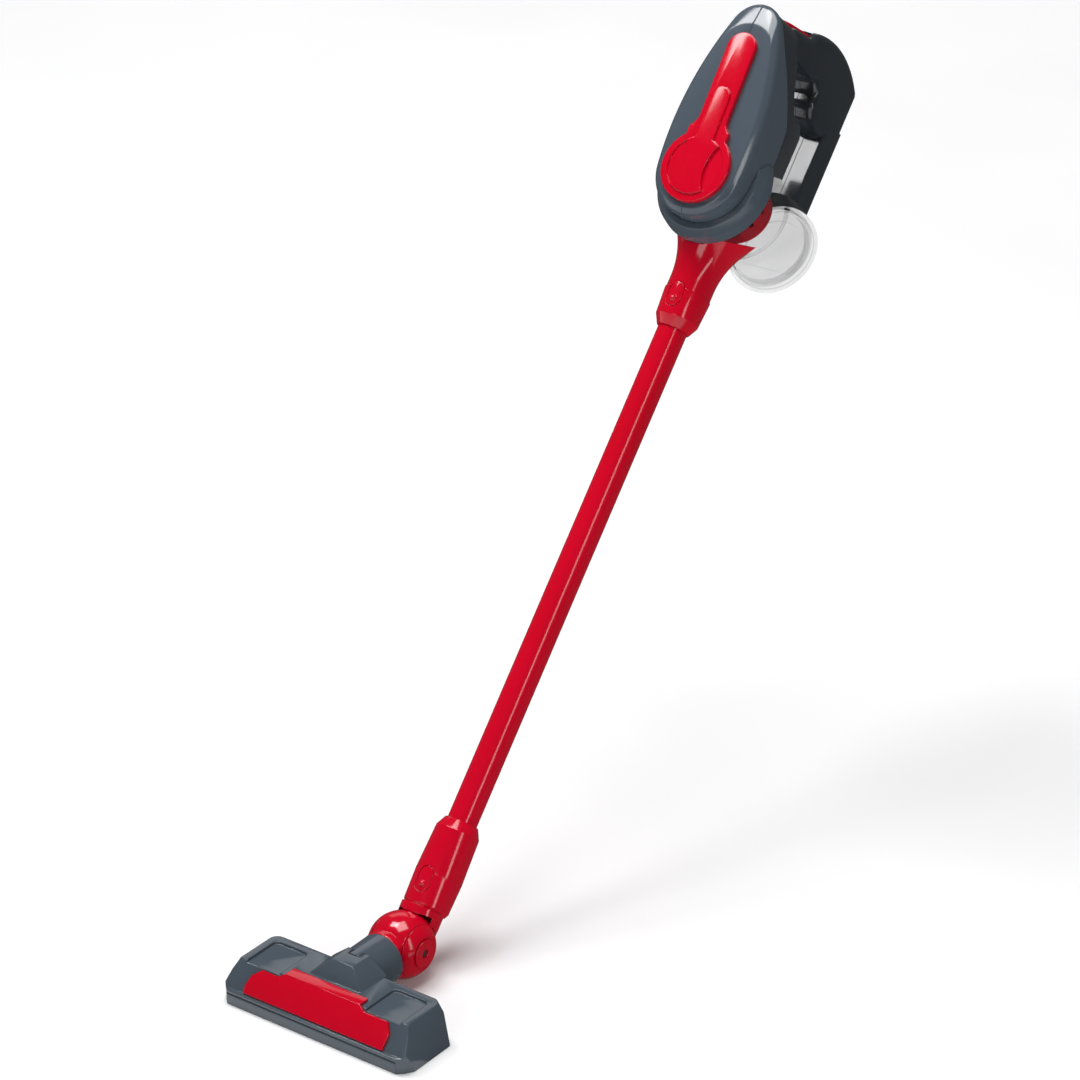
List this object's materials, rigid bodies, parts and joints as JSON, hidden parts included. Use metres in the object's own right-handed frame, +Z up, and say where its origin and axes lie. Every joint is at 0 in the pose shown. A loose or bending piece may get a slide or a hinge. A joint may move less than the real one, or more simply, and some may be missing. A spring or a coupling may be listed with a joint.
{
  "type": "toy stick vacuum cleaner",
  "caption": "Toy cordless stick vacuum with a swivelling floor head on a ball joint, pull-apart wand, clear bin, spinning fan and loop handle with a power button.",
  "frame": {"origin": "middle of the floor head's sole, on the floor", "axes": "+Z up, +X across the floor head, the wand leans back toward +Y"},
  "size_m": [0.16, 0.6266, 0.5772],
  "materials": {
    "slate": "slate grey glossy ABS moulding",
    "red": "bright red glossy ABS moulding",
    "black": "near black glossy ABS moulding",
    "clear": "clear polystyrene, smooth",
    "steel": "zinc plated steel",
    "cell": "printed steel cell jacket without marks"
  },
  "bodies": {
    "hand_unit": {"neck": "red", "cover_right": "slate", "cover_left": "slate", "cover_screws": "steel", "front_plate": "red", "bin_collar": "slate", "dust_bin": "clear", "filter_cup": "red", "motor_mount": "black", "motor": "steel", "handle_right": "black", "handle_left": "black", "handle_screws": "steel", "switch": "black", "battery_door": "black", "door_screw": "steel", "battery_cells": "cell", "battery_contacts": "steel"},
    "lid": {"bin_lid": "clear"},
    "fan": {"fan": "black"},
    "neck_button": {"neck_button": "red", "neck_button_spring": "steel"},
    "power_button": {"power_button": "red", "power_button_spring": "steel"},
    "wand": {"wand_tube": "red", "lower_sleeve": "red", "upper_sleeve": "red"},
    "foot_button": {"foot_button": "red", "foot_button_spring": "steel"},
    "yoke": {"yoke": "red", "pivot_screws": "steel"},
    "ball": {"ball_core": "red", "swivel_washer": "steel", "swivel_screw": "steel"},
    "head": {"head_shell": "slate", "head_neck": "slate", "head_trim": "red", "front_strip": "slate", "sole_plate": "black", "sole_screws": "steel"}
  },
  "joints": [
    {"name": "wand_slide", "type": "slide", "parent": "hand_unit", "child": "wand", "axis": [0, -0.6593, -0.7518], "range_m": [0, 0.03]},
    {"name": "foot_slide", "type": "slide", "parent": "wand", "child": "yoke", "axis": [0, -0.6593, -0.7518], "range_m": [0, 0.03]},
    {"name": "head_pitch", "type": "hinge", "parent": "yoke", "child": "ball", "pos_m": [0, 0.0733, 0.0238], "axis": [1, 0, 0], "range_deg": [-38, 38]},
    {"name": "head_swivel", "type": "hinge", "parent": "ball", "child": "head", "pos_m": [0, 0.045, 0.0238], "axis": [0, 1, 0], "range_deg": [-45, 45]},
    {"name": "neck_button_press", "type": "slide", "parent": "hand_unit", "child": "neck_button", "axis": [0, 0.7518, -0.6593], "range_m": [0, 0.002], "stiffness_N_per_m": 600, "deforming": ["neck_button_spring"]},
    {"name": "foot_button_press", "type": "slide", "parent": "wand", "child": "foot_button", "axis": [0, 0.7518, -0.6593], "range_m": [0, 0.002], "stiffness_N_per_m": 600, "deforming": ["foot_button_spring"]},
    {"name": "power_button_press", "type": "slide", "parent": "hand_unit", "child": "power_button", "axis": [0, -0.5188, -0.8549], "range_m": [0, 0.0016], "stiffness_N_per_m": 700, "deforming": ["power_button_spring"]},
    {"name": "fan_spin", "type": "hinge", "parent": "hand_unit", "child": "fan", "pos_m": [0, 0.45602, 0.44564], "axis": [0, 0.726, -0.6877], "continuous": true},
    {"name": "lid_pull", "type": "slide", "parent": "hand_unit", "child": "lid", "axis": [0, 0.726, -0.6877], "range_m": [0, 0.02]}
  ]
}
